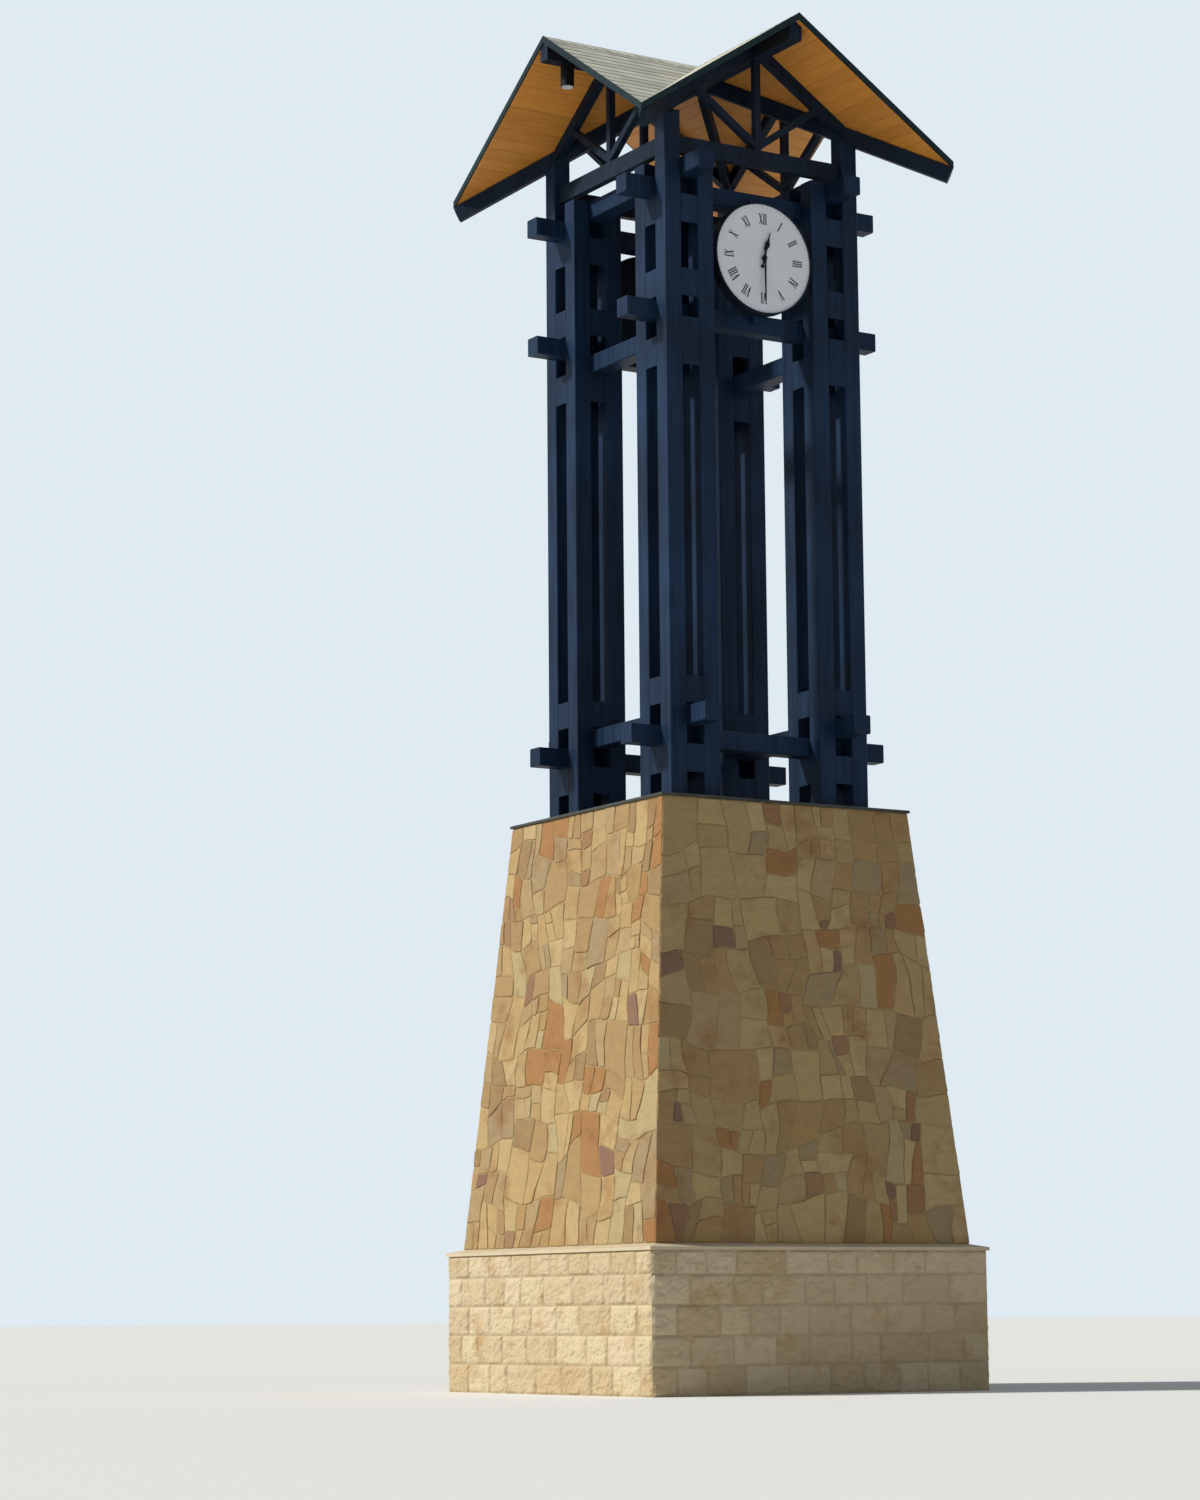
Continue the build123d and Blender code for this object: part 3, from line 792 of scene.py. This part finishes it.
def add_caps(points, faces, turn):
    """Bent caps that overlap along the ridge."""
    y = DECK_HALF
    while y > SHORTEST_CAP:
        y1 = max(y - EXPOSURE, 0.0)
        first = len(points)
        for end, tilt in ((y, 0.0), (y1, CAP_TILT)):
            for x in (-CAP_WING, 0.0, CAP_WING):
                points.append(quarter(turn) @ Vector((x, -end, roof_z(abs(x), tilt))))
            for x in (CAP_WING, 0.0, -CAP_WING):
                points.append(quarter(turn) @ Vector((x, -end, roof_z(abs(x), CAP_DROP))))
        near = list(range(first, first + 6))
        far = list(range(first + 6, first + 12))
        bridge(faces, near, far)
        faces.append(tuple(reversed(near)))
        faces.append(tuple(far))
        y = y1


for turn, name in enumerate(SIDES):
    rng = random.Random(90 + turn)
    points, faces = [], []
    courses = math.ceil(DECK_HALF / EXPOSURE)
    for side in (-1, 1):
        for course in range(courses):
            x1 = DECK_HALF - course * EXPOSURE
            x0 = max(x1 - EXPOSURE, 0.0)
            y1 = DECK_HALF - TAB * (0.5 if course % 2 else 0.0)
            edges = [DECK_HALF]
            while y1 > x0:
                if y1 < DECK_HALF:
                    edges.append(y1 + rng.uniform(-TAB_SPREAD, TAB_SPREAD))
                y1 -= TAB
            edges = [e for e in edges if e > x0 + NARROWEST_TAB] + [x0]
            for y_far, y_near in zip(edges, edges[1:]):
                add_tab(points, faces, turn, side, x0, x1, y_near + TAB_SLOT, y_far)
    add_caps(points, faces, turn)
    make_piece("shingle_courses_" + name, points, faces, shingle_stone)
    points, faces = [], []
    for side in (-1, 1):
        eave = DECK_HALF - FELT_SETBACK
        profile = [(0.0, DECK_TOP), (eave, DECK_TOP - SLOPE * eave),
                   (eave, roof_z(eave, FELT_DROP)), (0.0, roof_z(0.0, FELT_DROP))]
        gable_prism(points, faces, profile, turn, side)
    under = make_piece("felt_" + name, points, faces, felt)
    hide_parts("shingles_" + name)

# %% [markdown]
# ## Numbers on the dials
# The dials carry narrow Roman numbers in black that stand on the middle of the dial, so
# each one is turned with its hour, and a faint ring of minute marks runs at the edge. Each
# number is drawn from strokes: an I is a bar with two serifs, and V and X are made of one
# broad and one narrow leg. All are raised by a millimetre, so the edges show from near.

# %% Draw the numbers
dial_low, dial_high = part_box("dial_front")
DIAL_CENTRE = Vector((0, 0, (dial_low.z + dial_high.z) / 2))
DIAL_RADIUS = (dial_high.z - dial_low.z) / 2
DIAL_FACE = -dial_low.y
NUMERALS = ("XII", "I", "II", "III", "IV", "V", "VI", "VII", "VIII", "IX", "X", "XI")
NUMBER_RING = 0.446
NUMBER_HEIGHT = 0.120
INK = 0.001
MARK_START = DIAL_RADIUS - 0.034
HOUR_MARK = 0.016
MINUTE_MARK = 0.010
MARK_WIDTH = 0.004
THICK, THIN, SERIF = 0.13, 0.06, 0.05
# Each letter's strokes in units of its height (from, to, thickness), and its own width.
LETTERS = {
    "I": ([((0, -0.5), (0, 0.5), THICK), ((-0.10, 0.475), (0.10, 0.475), SERIF),
           ((-0.10, -0.475), (0.10, -0.475), SERIF)], 0.215),
    "V": ([((-0.14, 0.5), (0.02, -0.5), THICK), ((0.15, 0.5), (0.02, -0.5), THIN),
           ((-0.23, 0.475), (-0.05, 0.475), SERIF),
           ((0.08, 0.475), (0.22, 0.475), SERIF)], 0.46),
    "X": ([((-0.14, 0.5), (0.14, -0.5), THICK), ((0.14, 0.5), (-0.14, -0.5), THIN),
           ((-0.23, 0.475), (-0.05, 0.475), SERIF), ((0.07, 0.475), (0.22, 0.475), SERIF),
           ((-0.22, -0.475), (-0.07, -0.475), SERIF),
           ((0.05, -0.475), (0.23, -0.475), SERIF)], 0.46),
}


def add_bar(points, faces, a, b, width, turn):
    """A flat raised stroke between two points of the dial."""
    along = (b - a).normalized()
    across = Vector((-along.y, along.x))
    corners = [a + across * width / 2, a - across * width / 2,
               b - across * width / 2, b + across * width / 2]
    first = len(points)
    for lift in (0.0, INK):
        for c in corners:
            spot = Vector((c.x, -DIAL_FACE - lift, DIAL_CENTRE.z + c.y))
            points.append(quarter(turn) @ spot)
    low = list(range(first, first + 4))
    top = list(range(first + 4, first + 8))
    bridge(faces, low, top)
    faces.append(tuple(top))
    faces.append(tuple(reversed(low)))


def add_numeral(points, faces, hour, numeral, turn):
    """The strokes of one number, turned so that its foot points at the dial's middle."""
    angle = math.radians(30 * hour)
    outward = Vector((math.sin(angle), math.cos(angle)))
    clockwise = Vector((math.cos(angle), -math.sin(angle)))
    letters = [LETTERS[letter] for letter in numeral]
    start = -sum(width for strokes, width in letters) / 2
    for strokes, width in letters:
        for a, b, thickness in strokes:
            ends = [outward * (NUMBER_RING + p[1] * NUMBER_HEIGHT)
                    + clockwise * ((p[0] + start + width / 2) * NUMBER_HEIGHT) for p in (a, b)]
            add_bar(points, faces, ends[0], ends[1], thickness * NUMBER_HEIGHT, turn)
        start += width


for turn, name in ((0, "front"), (2, "back")):
    points, faces = [], []
    for hour, numeral in enumerate(NUMERALS):
        add_numeral(points, faces, hour, numeral, turn)
    make_piece("numbers_" + name, points, faces, ink)
    points, faces = [], []
    for minute in range(60):
        angle = math.radians(6 * minute)
        ray = Vector((math.sin(angle), math.cos(angle)))
        reach = MINUTE_MARK if minute % 5 else HOUR_MARK
        add_bar(points, faces, ray * MARK_START, ray * (MARK_START + reach), MARK_WIDTH, turn)
    make_piece("minute_marks_" + name, points, faces, grey_ink)

# %% [markdown]
# ## Hands
# The hands are cut from aluminium sheet, pressed to a low ridge along the middle and
# painted black. The hour hand swells to a leaf half-way and ends in a long point, and each
# has a round weight on its tail. Their outlines are lists of stations: a distance along
# the hand and half its width there. The front hands ride on bodies of their own and the
# back ones on the tower. Each takes the place of a CAD hand, and keeps its reach and turn.

# %% Cut the hands
HAND_SHEET = 0.006
RIDGE_LIFT = 0.002
HOUR_STATIONS = [(-0.119, 0.001), (-0.113, 0.014), (-0.097, 0.022), (-0.081, 0.014),
                 (-0.073, 0.007), (-0.034, 0.009), (-0.022, 0.022), (0.0, 0.031),
                 (0.022, 0.022), (0.034, 0.012), (0.100, 0.010), (0.125, 0.018),
                 (0.150, 0.029), (0.170, 0.031), (0.200, 0.019), (0.228, 0.009),
                 (0.290, 0.005), (None, 0.001)]
MINUTE_STATIONS = [(-0.123, 0.001), (-0.117, 0.012), (-0.105, 0.018), (-0.093, 0.012),
                   (-0.086, 0.006), (-0.031, 0.008), (-0.019, 0.019), (0.0, 0.026),
                   (0.019, 0.019), (0.031, 0.013), (0.300, 0.010), (0.480, 0.007),
                   (None, 0.001)]
HOUR_BOSS = 0.021
MINUTE_BOSS = 0.0165
BOSS_SIDES = 20
STATION_POINTS = 5


def hand_tip(node, turn):
    """Where a CAD hand's tip is, from the spindle, as seen by someone facing the dial."""
    spots = [quarter(-turn) @ v.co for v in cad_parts[node].data.vertices]
    arms = [Vector((spot.x, spot.z - DIAL_CENTRE.z)) for spot in spots]
    return max(arms, key=lambda arm: arm.length)


def cut_hand(name, node, stations, boss_radius, turn, body):
    """A hand of ridged sheet with a boss behind it, in place of a CAD hand."""
    tip = hand_tip(node, turn)
    along = tip.normalized()
    across = Vector((along.y, -along.x))
    low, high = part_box(node)
    front, seat = (low.y, high.y) if turn == 0 else (-high.y, -low.y)
    back = front + HAND_SHEET
    points, faces = [], []

    def add_point(distance, side, y):
        spot = along * distance + across * side
        points.append(quarter(turn) @ Vector((spot.x, y, DIAL_CENTRE.z + spot.y)))

    for distance, half_width in stations:
        distance = tip.length if distance is None else distance
        add_point(distance, -half_width, back)
        add_point(distance, -half_width, front + RIDGE_LIFT)
        add_point(distance, 0.0, front)
        add_point(distance, half_width, front + RIDGE_LIFT)
        add_point(distance, half_width, back)
    rings = [list(range(first, first + STATION_POINTS))
             for first in range(0, len(points), STATION_POINTS)]
    for here, after in zip(rings, rings[1:]):
        bridge(faces, here, after)
    faces.append(tuple(reversed(rings[0])))
    faces.append(tuple(rings[-1]))
    boss = len(points)
    for y in (seat, back):
        for step in range(BOSS_SIDES):
            angle = math.tau * step / BOSS_SIDES
            add_point(boss_radius * math.cos(angle), boss_radius * math.sin(angle), y)
    seat_ring = list(range(boss, boss + BOSS_SIDES))
    back_ring = list(range(boss + BOSS_SIDES, boss + 2 * BOSS_SIDES))
    bridge(faces, seat_ring, back_ring)
    faces.append(tuple(reversed(seat_ring)))
    faces.append(tuple(back_ring))
    hand = make_piece(name, points, faces, hand_paint, body)
    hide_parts(node)
    print(name, "reach", round(tip.length, 3))


for turn, name in ((0, "front"), (2, "back")):
    for kind, stations, boss_radius in (("hour", HOUR_STATIONS, HOUR_BOSS),
                                        ("minute", MINUTE_STATIONS, MINUTE_BOSS)):
        body = kind + "_hand" if name == "front" else "tower"
        cut_hand(f"{kind}_sheet_{name}", f"{kind}_hand_{name}", stations, boss_radius, turn, body)

# %% [markdown]
# ## Floor and light
# A pale floor and a plain world light the tower evenly from all round, and one soft sun
# from the left, a little behind the tower, gives the faces their form. Both are weak
# enough for pale stone to keep its colour. The camera, gloss and glass see a pale sky
# colour in place of the world's light, so the background stays pale without more light.

# %% Floor
REACH = 400.0
floor_corners = [(-REACH, -REACH, 0), (REACH, -REACH, 0), (REACH, REACH, 0), (-REACH, REACH, 0)]
floor_mesh = bpy.data.meshes.new("floor")
floor_mesh.from_pydata(floor_corners, [], [(0, 1, 2, 3)])
floor = bpy.data.objects.new("floor", floor_mesh)
bpy.context.scene.collection.objects.link(floor)
floor_paint, tree, shader = new_material("pale_studio_floor", roughness=0.9)
shader.inputs["Base Color"].default_value = linear("#E2E3E2")
shader.inputs["Specular IOR Level"].default_value = 0.1
floor_mesh.materials.append(floor_paint)
print("floor", 2 * REACH, "m wide")

# %% World and sun
WORLD_STRENGTH = 0.31
SUN_STRENGTH = 4.0
SUN_FROM = Vector((-1.0, 0.4, 0.8))

scene = bpy.context.scene
scene.view_settings.view_transform = "Standard"
world = bpy.data.worlds.new("studio")
scene.world = world
world.use_nodes = True
tree = world.node_tree
background = tree.nodes["Background"]
background.inputs["Color"].default_value = linear("#E6EDF6")
background.inputs["Strength"].default_value = WORLD_STRENGTH
backdrop = add_node(tree, "ShaderNodeBackground", {"Color": linear("#DFEAF2"), "Strength": 1.0})
path = add_node(tree, "ShaderNodeLightPath")
seen = add_node(tree, "ShaderNodeMath", {"operation": "ADD", "use_clamp": True},
                {0: path.outputs["Is Camera Ray"], 1: path.outputs["Is Glossy Ray"]})
seen = add_node(tree, "ShaderNodeMath", {"operation": "ADD", "use_clamp": True},
                {0: seen.outputs["Value"], 1: path.outputs["Is Transmission Ray"]})
shown = add_node(tree, "ShaderNodeMixShader",
                 links={"Fac": seen.outputs["Value"], 1: background.outputs[0],
                        2: backdrop.outputs[0]})
tree.links.new(shown.outputs[0], tree.nodes["World Output"].inputs["Surface"])

sun_data = bpy.data.lights.new("sun", "SUN")
sun_data.energy = SUN_STRENGTH
sun_data.angle = math.radians(5)
sun_data.color = (1.0, 0.955, 0.88)
sun = bpy.data.objects.new("sun", sun_data)
scene.collection.objects.link(sun)
sun.rotation_euler = SUN_FROM.to_track_quat("Z", "Y").to_euler()
print("world strength", WORLD_STRENGTH, "sun strength", SUN_STRENGTH)

# %% [markdown]
# ## Camera
# The camera stands 40 m away, left of the front and less than a metre above the tower's
# foot, and looks up a little. Its place, turn and lens were fitted to the corners of the
# tower in the photograph.

# %% Camera
camera_data = bpy.data.cameras.new("camera")
camera = bpy.data.objects.new("camera", camera_data)
scene.collection.objects.link(camera)
scene.camera = camera
FOCAL_PIXELS = 3709.3
FRAME_PIXELS = 1200
camera_data.sensor_fit = "HORIZONTAL"
camera_data.sensor_width = 36.0
camera_data.lens = FOCAL_PIXELS / FRAME_PIXELS * camera_data.sensor_width
camera_data.clip_end = 1000.0
CAMERA_PLACE = Vector((-21.934, -33.800, 0.811))
azimuth, pitch, roll = (math.radians(a) for a in (31.317, 8.667, -0.470))
forward = Vector((math.sin(azimuth) * math.cos(pitch), math.cos(azimuth) * math.cos(pitch),
                  math.sin(pitch)))
level = Vector((math.cos(azimuth), -math.sin(azimuth), 0))
upright = level.cross(forward)
right = level * math.cos(roll) + upright * math.sin(roll)
up = upright * math.cos(roll) - level * math.sin(roll)
turned = Matrix((right, up, -forward)).transposed().to_4x4()
camera.matrix_world = Matrix.Translation(CAMERA_PLACE) @ turned
print("lens", round(camera_data.lens, 2), "mm")
